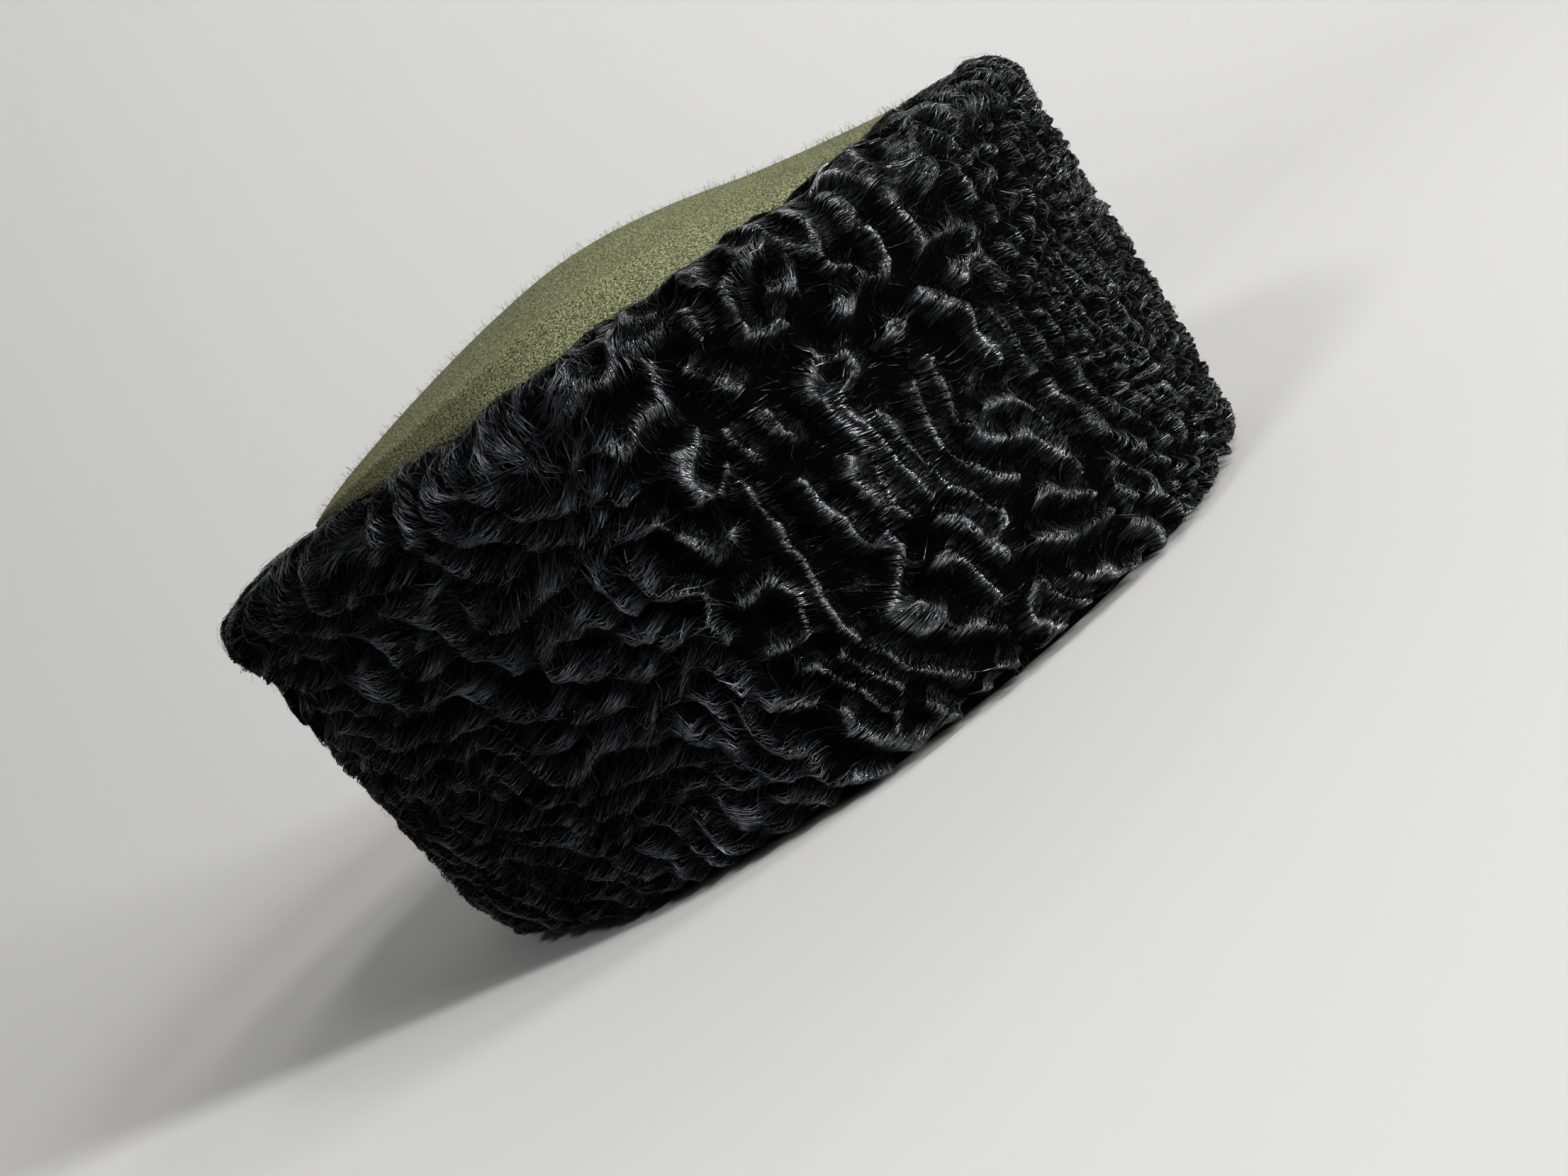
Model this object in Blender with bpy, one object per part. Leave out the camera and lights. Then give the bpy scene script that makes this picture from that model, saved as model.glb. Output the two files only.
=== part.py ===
"""Papakha: a tall oval band of curly black lamb fur round a domed crown of olive wool cloth.

Metres, +Z up. The hat stands on its rim, its front towards -Y and the wearer's right towards -X.
The origin is at the bottom centre of its box.
"""

import math

import bmesh
import bpy
from mathutils import Vector

# Oval that the head goes into, at the rim
HEAD_LENGTH = 0.212
HEAD_WIDTH = 0.174

# Band of fur over padding
BAND_HEIGHT = 0.133
WOOL_WALL = 0.031
FLARE_FRONT = 0.0015
FLARE_BACK = 0.011
FLARE_SIDE = 0.006
FLARE_INSIDE = 0.002
TOP_ROLL = 0.017
RIM_ROUND = 0.009
INNER_ROUND = 0.003

# Locks of the fur: staggered ovals in rows up the straight wall and over the roll. Half sizes and
# slants are in widths and rows of the locks' own pattern
LOCKS_AROUND = 27
LOCK_ROWS = 4
ROLL_LOCKS = 1
LOCK_HALF_WIDTH = 0.5
LOCK_HALF_LENGTH = 0.75
LOCK_SLANT_FRONT = 0.3
LOCK_SLANT_BACK = 0.8
LOCK_RELIEF = 0.0045

# Crown of cloth, sewn inside the top of the band
CROWN_HEIGHT = 0.0205
CLOTH_THICKNESS = 0.002
SEAM_DEPTH = 0.014
SEAM_GAP = 0.0003

# How far the outside of the wall has leaned out: share of the height, share of the flare
WALL_LEAN = (
    (0.00, 0.00),
    (0.17, 0.32),
    (0.33, 0.56),
    (0.55, 0.70),
    (0.78, 0.90),
    (1.00, 1.00),
)

# Ridge line of the crown: place from the front (-1) to the back (1), share of the crown's height
CROWN_LENGTHWAYS = (
    (-1.00, 0.00),
    (-0.78, 0.20),
    (-0.52, 0.48),
    (-0.30, 0.78),
    (-0.10, 0.96),
    (0.05, 1.00),
    (0.27, 0.89),
    (0.50, 0.67),
    (0.73, 0.39),
    (0.90, 0.13),
    (1.00, 0.00),
)

# Fall of the crown from its middle to its side: place across, share with a shoulder, share without
CROWN_CROSSWAYS = (
    (0.00, 1.00, 1.00),
    (0.25, 0.97, 0.94),
    (0.50, 0.85, 0.78),
    (0.70, 0.65, 0.57),
    (0.85, 0.46, 0.36),
    (0.93, 0.35, 0.21),
    (0.975, 0.21, 0.10),
    (1.00, 0.00, 0.00),
)

# The shoulder is gone in front of the first place along the crown and full behind the second
SHOULDER_RISE = (-0.55, 0.15)

# Fineness of the meshes
COLUMNS = 108
WALL_ROWS = 16
ROLL_ROWS = 8
ROUND_ROWS = 2
INNER_ROWS = 2
CLOTH_COLUMNS = 54
CLOTH_RINGS = (0.98, 0.94, 0.87, 0.77, 0.64, 0.49, 0.33, 0.16)

FUR = {"name": "karakul_fur", "color": (0.012, 0.012, 0.014), "roughness": 0.5}
CLOTH = {"name": "olive_wool", "color": (0.156, 0.159, 0.084), "roughness": 0.95}


def clear_scene():
    for obj in list(bpy.data.objects):
        bpy.data.objects.remove(obj, do_unlink=True)


def principled(look):
    material = bpy.data.materials.new(look["name"])
    material.use_nodes = True
    shader = material.node_tree.nodes["Principled BSDF"]
    shader.inputs["Base Color"].default_value = (*look["color"], 1.0)
    shader.inputs["Roughness"].default_value = look["roughness"]
    shader.inputs["Metallic"].default_value = 0.0
    return material


def along_table(table, place, column=1):
    """Value at a place, on a smooth curve through one column of a table."""
    last = len(table) - 1
    index = 0
    while index < last - 1 and place > table[index + 1][0]:
        index += 1

    def slope(row):
        before = table[max(row - 1, 0)]
        after = table[min(row + 1, last)]
        return (after[column] - before[column]) / (after[0] - before[0])

    start, end = table[index], table[index + 1]
    span = end[0] - start[0]
    t = min(max((place - start[0]) / span, 0.0), 1.0)
    ease = t * t * (3 - 2 * t)
    leave = span * slope(index) * t * (1 - t) ** 2
    arrive = span * slope(index + 1) * t * t * (1 - t)
    return start[column] + (end[column] - start[column]) * ease + leave - arrive


def oval(front, back, side, turn):
    """Point on an oval, turned from the front through the wearer's left."""
    reach = front if math.cos(turn) > 0 else back
    return Vector((side * math.sin(turn), -reach * math.cos(turn), 0.0))


def outer_face(turn, height):
    """Point on the outside of the band, at the crests of its locks."""
    lean = along_table(WALL_LEAN, min(max(height / BAND_HEIGHT, 0.0), 1.0))
    front = HEAD_LENGTH / 2 + WOOL_WALL + FLARE_FRONT * lean
    back = HEAD_LENGTH / 2 + WOOL_WALL + FLARE_BACK * lean
    side = HEAD_WIDTH / 2 + WOOL_WALL + FLARE_SIDE * lean
    return oval(front, back, side, turn) + Vector((0.0, 0.0, height))


def inner_face(turn, height, inset=0.0):
    """Point on the inside of the band, or a clearance further in."""
    grow = FLARE_INSIDE * height / BAND_HEIGHT - inset
    ends = HEAD_LENGTH / 2 + grow
    side = HEAD_WIDTH / 2 + grow
    return oval(ends, ends, side, turn) + Vector((0.0, 0.0, height))


def lock_height(turn, climb):
    """Share of the full lock at a place, climb rows up the wall: staggered, slanting ovals."""
    slant = LOCK_SLANT_FRONT + (LOCK_SLANT_BACK - LOCK_SLANT_FRONT) * (0.5 - 0.5 * math.cos(turn))
    nearest = math.floor(climb)
    swell = 0.0
    for row in (nearest - 1, nearest, nearest + 1):
        up = climb - row - 0.5
        around = LOCKS_AROUND * turn / (2 * math.pi) + 0.5 * (row % 2) + slant * up
        aside = around - round(around)
        oval_fill = 1 - (aside / LOCK_HALF_WIDTH) ** 2 - (up / LOCK_HALF_LENGTH) ** 2
        swell = max(swell, oval_fill)
    return math.sqrt(swell)


def wall_cut():
    """One cut through the wall, from the inner edge of the rim round to the foot of the inside.

    Rows of share from the inner to the outer face, distance added to it, height, share of the
    locks, place up the wall and tilt of the face there from upright.
    """
    rows = [(0.0, INNER_ROUND, 0.0, 0.0, 0.0, 0.0)]
    for step in range(ROUND_ROWS + 1):
        angle = math.pi / 2 * step / ROUND_ROWS
        inset = RIM_ROUND * (1 - math.sin(angle))
        height = RIM_ROUND * (1 - math.cos(angle))
        rows.append((1.0, -inset, height, step / ROUND_ROWS, 0.0, 0.0))
    straight = BAND_HEIGHT - TOP_ROLL - RIM_ROUND
    for step in range(1, WALL_ROWS + 1):
        climb = step / WALL_ROWS
        rows.append((1.0, 0.0, RIM_ROUND + straight * climb, 1.0, LOCK_ROWS * climb, 0.0))
    for step in range(1, ROLL_ROWS + 1):
        tilt = math.pi * step / ROLL_ROWS
        share = 0.5 + 0.5 * math.cos(tilt)
        height = BAND_HEIGHT - TOP_ROLL * (1 - math.sin(tilt))
        climb = LOCK_ROWS + ROLL_LOCKS * step / ROLL_ROWS
        rows.append((share, 0.0, height, math.sqrt(share), climb, tilt))
    below = BAND_HEIGHT - TOP_ROLL - INNER_ROUND
    for step in range(1, INNER_ROWS + 1):
        height = INNER_ROUND + below * (1 - step / INNER_ROWS)
        rows.append((0.0, 0.0, height, 0.0, 0.0, 0.0))
    return rows


def band_point(turn, row):
    share, extra, height, locks, climb, tilt = row
    inside = inner_face(turn, height)
    outside = outer_face(turn, height)
    across = (outside - inside).normalized()
    outwards = across * math.cos(tilt) + Vector((0.0, 0.0, math.sin(tilt)))
    sunk = LOCK_RELIEF * locks * (1 - lock_height(turn, climb))
    return inside.lerp(outside, share) + across * extra - outwards * sunk


def piece_from(name, mesh_data, look):
    """Turn a bmesh into a named, smooth object with its material."""
    bmesh.ops.recalc_face_normals(mesh_data, faces=mesh_data.faces[:])
    mesh = bpy.data.meshes.new(name)
    mesh_data.to_mesh(mesh)
    mesh_data.free()
    mesh.shade_smooth()
    mesh.materials.append(principled(look))
    obj = bpy.data.objects.new(name, mesh)
    bpy.context.collection.objects.link(obj)
    return obj


def join_rings(mesh_data, lower, upper):
    count = len(lower)
    for i in range(count):
        j = (i + 1) % count
        mesh_data.faces.new((lower[i], lower[j], upper[j], upper[i]))


def karakul_band():
    """The fur band: a closed ring, its cut carried round the oval."""
    shape = bmesh.new()
    rings = []
    for row in wall_cut():
        turns = [2 * math.pi * i / COLUMNS for i in range(COLUMNS)]
        rings.append([shape.verts.new(band_point(turn, row)) for turn in turns])
    for ring, following in zip(rings, rings[1:] + rings[:1]):
        join_rings(shape, ring, following)
    return piece_from("karakul_band", shape, FUR)


def crown_height(along, across):
    """Height of the cloth above the top of the band."""
    with_shoulder = along_table(CROWN_CROSSWAYS, across, 1)
    plain = along_table(CROWN_CROSSWAYS, across, 2)
    gone, full = SHOULDER_RISE
    t = min(max((along - gone) / (full - gone), 0.0), 1.0)
    shoulder = t * t * (3 - 2 * t)
    fall = plain + (with_shoulder - plain) * shoulder
    return CROWN_HEIGHT * along_table(CROWN_LENGTHWAYS, along) * fall


def crown_point(turn, share):
    """Point on the outside of the crown, at a share of the way from its middle to its edge."""
    edge = inner_face(turn, BAND_HEIGHT, SEAM_GAP)
    if share == 1.0:
        return edge
    along = -share * math.cos(turn)
    half_chord = math.sqrt(1 - along * along)
    across = abs(share * math.sin(turn)) / half_chord
    height = BAND_HEIGHT + crown_height(along, across)
    return Vector((edge.x * share, edge.y * share, height))


def cloth_top():
    """The crown of cloth: a dome with a hem turned down inside the band, then given its thickness."""
    shape = bmesh.new()
    turns = [2 * math.pi * i / CLOTH_COLUMNS for i in range(CLOTH_COLUMNS)]
    rings = []
    for drop in (SEAM_DEPTH, SEAM_DEPTH / 2):
        hem = [inner_face(turn, BAND_HEIGHT - drop, SEAM_GAP) for turn in turns]
        rings.append([shape.verts.new(point) for point in hem])
    for share in (1.0, *CLOTH_RINGS):
        rings.append([shape.verts.new(crown_point(turn, share)) for turn in turns])
    for ring, following in zip(rings, rings[1:]):
        join_rings(shape, ring, following)
    peak = shape.verts.new(crown_point(0.0, 0.0))
    for i, vert in enumerate(rings[-1]):
        shape.faces.new((vert, rings[-1][(i + 1) % CLOTH_COLUMNS], peak))
    obj = piece_from("cloth_top", shape, CLOTH)
    wall = obj.modifiers.new("cloth_thickness", "SOLIDIFY")
    wall.thickness = CLOTH_THICKNESS
    wall.offset = -1.0
    wall.use_even_offset = True
    return obj


def centre_on_origin(pieces, measured):
    """Shift every piece so that the box of the measured one stands centred over the origin."""
    for axis in (0, 1):
        places = [vert.co[axis] for vert in measured.data.vertices]
        middle = (min(places) + max(places)) / 2
        for piece in pieces:
            for vert in piece.data.vertices:
                vert.co[axis] -= middle


def main():
    clear_scene()
    band = karakul_band()
    crown = cloth_top()
    centre_on_origin([band, crown], band)


main()
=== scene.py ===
import math

import bmesh
import bpy
import numpy as np
from mathutils import Matrix, Vector


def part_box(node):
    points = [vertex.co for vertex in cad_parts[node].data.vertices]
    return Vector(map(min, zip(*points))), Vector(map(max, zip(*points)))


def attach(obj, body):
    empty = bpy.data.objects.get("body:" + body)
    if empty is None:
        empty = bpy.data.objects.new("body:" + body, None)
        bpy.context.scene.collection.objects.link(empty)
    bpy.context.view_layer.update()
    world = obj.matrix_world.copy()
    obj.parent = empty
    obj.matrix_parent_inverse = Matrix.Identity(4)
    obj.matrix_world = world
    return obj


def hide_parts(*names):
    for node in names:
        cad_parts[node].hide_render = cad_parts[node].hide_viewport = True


# A papakha: a tall band of curly black lamb fur with a domed crown of olive wool cloth.
# It stands on its rim, front towards -Y, the wearer's right towards -X. Sizes are in millimetres.

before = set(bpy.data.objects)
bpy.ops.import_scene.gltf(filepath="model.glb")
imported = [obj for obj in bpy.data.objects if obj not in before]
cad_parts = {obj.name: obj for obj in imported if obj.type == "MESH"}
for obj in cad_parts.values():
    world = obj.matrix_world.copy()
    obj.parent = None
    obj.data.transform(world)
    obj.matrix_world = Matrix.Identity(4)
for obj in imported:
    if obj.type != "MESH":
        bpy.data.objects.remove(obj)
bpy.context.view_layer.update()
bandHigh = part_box("karakul_band")[1]
crownLow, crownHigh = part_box("cloth_top")
mm = 0.001
rng = np.random.default_rng(1887)


def smooth(value, low, high):
    t = np.clip((value - low) / (high - low), 0.0, 1.0)
    return t * t * (3 - 2 * t)


def mix(a, b, share):
    return a + (b - a) * share


def past(start, span):
    return start + span[0], start + span[1]


# The form of the band

band = {
    "height": bandHigh.z / mm,
    "headLength": 212.0, "headWidth": 174.0,  # oval that the head goes into
    "wall": 31.0,
    "flareFront": 1.5, "flareBack": 11.0, "flareSide": 6.0, "flareInside": 2.0,
    "topRoll": 17.0, "rollLength": 52.0, "rollFull": 0.13,  # the roll lies full against the cloth
    "rear": (0.75, 1.0),  # where the very back starts, and where it is full
    "backSag": 3.0, "sagFrom": (-25, 10), "sagGone": (0.4, 0.9),  # the roll is lower at the very back
    "hairUpright": 0.65,  # how upright the fur stands over the roll's inner half
    "rimRound": 9.0, "innerRound": 3.0,
    "middle": (crownLow.y + crownHigh.y) / 2 / mm,  # centre of the head oval along Y
    "leanHeights": [0.00, 0.17, 0.33, 0.55, 0.78, 1.00],
    "leanShares": [0.00, 0.32, 0.56, 0.70, 0.90, 1.00],
}
rimArc = math.pi / 2 * band["rimRound"]
wallTop = rimArc + band["height"] - band["rimRound"] - band["topRoll"]  # climb where the roll starts
furTop = wallTop + band["rollLength"]  # climb where the fur meets the cloth


def ovalAt(turn, front, back, side):
    # turned from the front through the wearer's right
    reach = np.where(np.cos(turn) > 0, front, back)
    return -side * np.sin(turn), -reach * np.cos(turn) + band["middle"]


def outerOval(turn, height):
    lean = np.interp(height / band["height"], band["leanHeights"], band["leanShares"])
    ends = band["headLength"] / 2 + band["wall"]
    side = band["headWidth"] / 2 + band["wall"] + band["flareSide"] * lean
    return ovalAt(turn, ends + band["flareFront"] * lean, ends + band["flareBack"] * lean, side)


def innerOval(turn, height, inset=0.0):
    grow = band["flareInside"] * height / band["height"] - inset
    ends = band["headLength"] / 2 + grow
    return ovalAt(turn, ends, ends, band["headWidth"] / 2 + grow)


def rearShare(turn):
    # 1 at the very back, 0 round the rest
    return smooth(-np.cos(turn), *band["rear"])


def furSurface(turn, climb):
    # climb runs in mm from the flat of the rim, up the wall and over the roll, to the cloth
    climb = np.broadcast_to(climb, np.broadcast(turn, climb).shape)
    turn = np.broadcast_to(turn, climb.shape)
    rim = np.clip(climb / band["rimRound"], 0, math.pi / 2)
    roll = np.clip((climb - wallTop) / band["rollLength"], 0, 1) * math.pi
    height = band["rimRound"] * (1 - np.cos(rim)) + np.clip(climb - rimArc, 0, wallTop - rimArc)
    over = roll > math.pi / 2
    rise = np.maximum(np.sin(roll), 0)
    sag = band["backSag"] * rearShare(turn) * smooth(climb, *past(wallTop, band["sagFrom"]))
    sag = sag * (1 - smooth(roll / math.pi, *band["sagGone"]))
    height = height + band["topRoll"] * np.where(over, rise ** band["rollFull"], rise) - sag
    outX, outY = outerOval(turn, height)
    inX, inY = innerOval(turn, height)
    thick = np.hypot(outX - inX, outY - inY)
    acrossX, acrossY = (outX - inX) / thick, (outY - inY) / thick
    depth = thick * (0.5 + 0.5 * np.cos(roll)) - band["rimRound"] * (1 - np.sin(rim))
    depth = depth + np.minimum(climb, 0)
    place = np.stack([inX + acrossX * depth, inY + acrossY * depth, height], -1)
    tilt = np.where(over, mix(roll, math.pi / 2, band["hairUpright"]), roll)
    level = np.sin(rim) * np.cos(tilt)
    upright = np.sin(tilt) - np.cos(rim)
    normal = np.stack([acrossX * level, acrossY * level, upright], -1)
    onward = np.stack([acrossY, -acrossX, np.zeros_like(acrossX)], -1)
    return place, normal / np.linalg.norm(normal, axis=-1, keepdims=True), onward


# Distance round the band at mid height, from the front through the wearer's right
turnSteps = np.linspace(0, 2 * math.pi, 2881)
stepX, stepY = outerOval(turnSteps, np.full_like(turnSteps, band["height"] / 2))
roundSteps = np.concatenate([[0], np.cumsum(np.hypot(np.diff(stepX), np.diff(stepY)))])
roundLength = roundSteps[-1]


def turnAt(around):
    return np.interp(around % roundLength, roundSteps, turnSteps)


# The lay of the fur: ridges of curls grown over the unrolled band

lay = {
    "cell": 1.2,  # grid of the field that the ridges grow in
    "lowest": -14.0,  # climb where the fur ends, under the rim
    "frontEnd": (102.0, 130.0), "backSeam": (224.0, 234.0),
    "seamSlant": 0.06, "seamMiddle": 60, "seamWaves": ((4, 17.0), (3, 7.3)), "seamShift": 9.0,
    "topStart": (-2, 10),  # climb past the top of the wall
    "steps": 900, "pace": 0.03, "growth": 0.30, "seed": 0.3, "seedSize": 2.5,
    "blobs": 0.20, "frontBlobs": 0.60, "topBlobs": 0.85,  # short curls in place of long ones
    "sideWave": 10.8, "frontWave": 6.4, "backWave": 9.0, "topWave": 12.0,  # spacing of the ridges
    "uneven": 0.10, "unevenSize": 14.0,
    "curlReach": (3.0, 6.5), "curlHold": 0.6,
    "levelSteps": 60, "levelFull": 1.27, "waySteps": 36,
    "stray": 1.8, "straySize": 9.0, "squiggle": 0.8, "squiggleSize": 3.6,
    "lowBelt": (18, 45),  # climb up to which the ridges slope as near the rim
    "sideSlope": (0.15, 0.75), "backSlope": (1.5, 0.9), "frontSlope": 0.4,
    "sideStrict": 0.32, "backStrict": 0.22, "frontStrict": 0.04, "topStrict": 0.30,
    "sideDepth": 6.0, "frontDepth": 4.2, "backDepth": 5.0, "topDepth": 6.5,
    "lowDepth": 0.84, "lowFade": (8, 34), "rimDepth": 0.15, "rimFade": (-9, 2),
    "fullness": 0.84,  # share of the spacing that a ridge fills
    "sharpness": 0.07, "lowestCrest": 0.55, "crestSize": 9.0,
    "wallProud": 0.0, "topProud": 1.6, "edgeProud": 2.2,  # how far the crests stand out
    "proudFrom": (0, 20), "edgeFrom": (-22, -10),
    "rearBulge": 4.5, "bulgeAt": 4.0, "bulgeSize": 9.0,  # the roll is fuller at the back
    "rearTuck": 4.5, "tuckAt": 5.0, "tuckSize": 7.0,  # and the rim is rounder there
    "sideLean": 0.50, "frontLean": 0.3, "backLean": 0.75, "leanReach": 4.0,
    "sideFlow": (-0.97, 0.20), "frontFlow": (-0.60, -0.80), "backFlow": (0.50, -0.85),
}

# The long curls of the right side: points as (distance round, height)
longCurls = [
    [(204, 79), (204, 58), (200, 36)],
    [(194, 76), (191, 63), (184, 51), (187, 41)],
    [(184, 77), (181, 63), (184, 53)],
    [(178, 92), (177, 71), (176, 55)],
    [(172, 87), (171, 65), (168, 55)],
    [(165, 77), (163, 57), (157, 43), (155, 35)],
    [(175, 42), (171, 32), (167, 25)],
    [(171, 50), (164, 41), (157, 28)],
    [(189, 40), (182, 27), (172, 18)],
    [(156, 78), (155, 60), (149, 44)],
    [(147, 80), (145, 62), (137, 46), (126, 35)],
    [(137, 60), (130, 50), (123, 40)],
    [(123, 82), (122, 61)],
    [(174, 98), (165, 97), (164, 91), (173, 89), (176, 95)],
    [(208, 98), (217, 95), (220, 86), (213, 81), (206, 86)],
    [(222, 60), (214, 62), (209, 54), (214, 45), (222, 47)],
    [(208, 38), (206, 26), (200, 19)],
    [(201, 112), (197, 106), (189, 103)],
    [(139, 95), (133, 87), (130, 73)],
    [(150, 28), (140, 22), (128, 20)],
    [(197, 32), (190, 23), (187, 13)],
]

columns = int(round(roundLength / lay["cell"]))
rows = int(round((furTop - lay["lowest"]) / lay["cell"]))
aroundCells = np.arange(columns) * roundLength / columns
climbCells = lay["lowest"] + (np.arange(rows) + 0.5) * (furTop - lay["lowest"]) / rows


def zones(around, climb):
    # shares of the front, side and back fur, which meet along uneven lines, and of the top roll
    fromFront = np.minimum(around % roundLength, roundLength - around % roundLength)
    (wide, wideLength), (fine, fineLength) = lay["seamWaves"]
    wobble = wide * np.sin(climb / wideLength)
    wobble = wobble + fine * np.sin(climb / fineLength + fromFront / lay["seamShift"])
    back = smooth(fromFront + wobble - lay["seamSlant"] * (lay["seamMiddle"] - climb), *lay["backSeam"])
    front = 1 - smooth(fromFront + 1.5 * wobble, *lay["frontEnd"])
    top = smooth(climb, *past(wallTop, lay["topStart"]))
    return front, 1 - front - back, back, top


def waveAt(around, climb):
    # spacing of the ridges
    front, side, back, top = zones(around, climb)
    wave = lay["sideWave"] * side + lay["frontWave"] * front + lay["backWave"] * back
    return mix(wave, lay["topWave"], top)


def sideSign(around):
    # 1 on the right side and -1 on the left, passing over smoothly at the front and back
    return np.clip(6 * np.sin(2 * math.pi * around / roundLength), -1, 1)


def flowAt(around, climb):
    # the way that the curls lean and their hair runs, as (round, up) parts, and how far they lean
    front, side, back, top = zones(around, climb)
    flows = zip(lay["frontFlow"], lay["sideFlow"], lay["backFlow"])
    flowA, flowC = (atFront * front + atSide * side + atBack * back for atFront, atSide, atBack in flows)
    lean = lay["frontLean"] * front + lay["sideLean"] * side + lay["backLean"] * back
    return flowA * sideSign(around), flowC, lean * (1 - top)


def ridgeWay(around, climb):
    # direction that the ridges run, as (round, up) parts, and how strictly
    front, side, back, top = zones(around, climb)
    low = 1 - smooth(climb, *lay["lowBelt"])
    slope = mix(*lay["sideSlope"], low) * side + mix(*lay["backSlope"], low) * back
    slope = (slope + lay["frontSlope"] * front) * (1 - top)
    strict = lay["sideStrict"] * side + lay["backStrict"] * back + lay["frontStrict"] * front
    strict = strict * (1 - top) + lay["topStrict"] * top
    size = np.hypot(slope, 1.0)
    return slope * sideSign(around) / size, 1.0 / size, strict


def spread(field, padded):
    # nine-point Laplacian, closed round the band and level at the edges
    padded[1:-1, 1:-1] = field
    padded[0], padded[-1] = padded[1], padded[-2]
    padded[:, 0], padded[:, -1] = padded[:, -2], padded[:, 1]
    cross = padded[:-2, 1:-1] + padded[2:, 1:-1] + padded[1:-1, :-2] + padded[1:-1, 2:]
    corners = padded[:-2, :-2] + padded[:-2, 2:] + padded[2:, :-2] + padded[2:, 2:]
    return (4 * cross + corners - 20 * field) / 6


def blur(field, times):
    padded = np.zeros((field.shape[0] + 2, field.shape[1] + 2), field.dtype)
    for _ in range(times):
        field = field + spread(field, padded) * 0.25
    return field


def finer(field):
    # twice as many columns, on a smooth curve between the old ones
    between = 9 * (field + np.roll(field, -1, 1)) - np.roll(field, 1, 1) - np.roll(field, -2, 1)
    if field.shape[1] < field.shape[0]:
        between[:, -2:] = 16 * field[:, -2:]
        between[:, 0] = 8 * (field[:, 0] + field[:, 1])
    return np.stack([field, between / 16], -1).reshape(len(field), -1)


def noiseField(size):
    cells = max(int(size / lay["cell"]), 1)
    field = blur(rng.standard_normal((rows, columns)), cells * cells)
    return field / field.std()


def nearCurl(around, climb):
    # distance in mm to the nearest long curl of the right side
    nearest = np.full(np.broadcast(around, climb).shape, 99.0)
    for points in longCurls:
        for (a0, z0), (a1, z1) in zip(points, points[1:]):
            c0, c1 = z0 - band["rimRound"] + rimArc, z1 - band["rimRound"] + rimArc
            runA, runC = a1 - a0, c1 - c0
            t = np.clip(((around - a0) * runA + (climb - c0) * runC) / (runA ** 2 + runC ** 2), 0, 1)
            nearest = np.minimum(nearest, np.hypot(around - a0 - t * runA, climb - c0 - t * runC))
    return nearest


def sample(field, around, climb):
    # value of a field between its cells
    a = (around % roundLength) / roundLength * field.shape[1]
    c = (climb - lay["lowest"]) / (furTop - lay["lowest"]) * field.shape[0] - 0.5
    c = np.clip(c, 0, field.shape[0] - 1.001)
    a0, c0 = np.floor(a).astype(int), np.floor(c).astype(int)
    fa, fc = a - a0, c - c0
    a0, a1 = a0 % field.shape[1], (a0 + 1) % field.shape[1]
    lower = mix(field[c0, a0], field[c0, a1], fa)
    upper = mix(field[c0 + 1, a0], field[c0 + 1, a1], fa)
    return mix(lower, upper, fc)


def growRidges():
    around, climb = np.meshgrid(aroundCells, climbCells)
    front, _, _, top = zones(around, climb)
    wave = waveAt(around, climb) * (1 + lay["uneven"] * np.tanh(noiseField(lay["unevenSize"])))
    pitch = ((2 * math.pi / (wave / lay["cell"])) ** 2).astype(np.float32)
    blobs = mix(mix(lay["blobs"], lay["frontBlobs"], front), lay["topBlobs"], top).astype(np.float32)
    wayA, wayC, strict = (part.astype(np.float32) for part in ridgeWay(around, climb))
    strict = strict * pitch
    near = nearCurl(around, climb)
    drawn = np.cos(2 * math.pi * near / lay["sideWave"]).astype(np.float32)
    hold = (0.5 * (1 - smooth(near, *lay["curlReach"]))).astype(np.float32)
    field = (lay["seed"] * noiseField(lay["seedSize"])).astype(np.float32)
    field = mix(field, lay["curlHold"] * drawn, 2 * hold).astype(np.float32)
    padded = np.zeros((rows + 2, columns + 2), np.float32)
    for _ in range(lay["steps"]):
        inner = spread(field, padded) + pitch * field
        bent = spread(inner, padded) + pitch * inner
        padded[1:-1, 1:-1] = field
        padded[0], padded[-1] = padded[1], padded[-2]
        padded[:, 0], padded[:, -1] = padded[:, -2], padded[:, 1]
        alongA = padded[1:-1, :-2] + padded[1:-1, 2:] - 2 * field
        alongC = padded[:-2, 1:-1] + padded[2:, 1:-1] - 2 * field
        both = (padded[2:, 2:] + padded[:-2, :-2] - padded[2:, :-2] - padded[:-2, 2:]) / 4
        along = wayA ** 2 * alongA + wayC ** 2 * alongC + 2 * wayA * wayC * both
        change = lay["growth"] * field - bent + strict * along
        change += blobs * field ** 2 - field ** 3 + hold * (drawn * lay["curlHold"] - field)
        field = field + lay["pace"] * change
    level = np.sqrt(blur(field.astype(np.float64) ** 2, lay["levelSteps"])) * lay["levelFull"]
    return np.clip(finer(finer((field / level).T).T), -1, 1)


def wander(field):
    # lets the ridges stray from side to side
    a, c = np.meshgrid(np.arange(field.shape[1]), np.arange(len(field)) + 0.5)
    around = a * roundLength / field.shape[1]
    climb = lay["lowest"] + c * (furTop - lay["lowest"]) / len(field)
    strayA, strayC = (
        lay["stray"] * noiseField(lay["straySize"]) + lay["squiggle"] * noiseField(lay["squiggleSize"])
        for _ in range(2))
    aside = sample(strayA, around, climb)
    upward = sample(strayC, around, climb)
    return sample(field, around + aside, climb + upward)


ridges = wander(growRidges())
print("ridges grown", ridges.shape)


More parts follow.
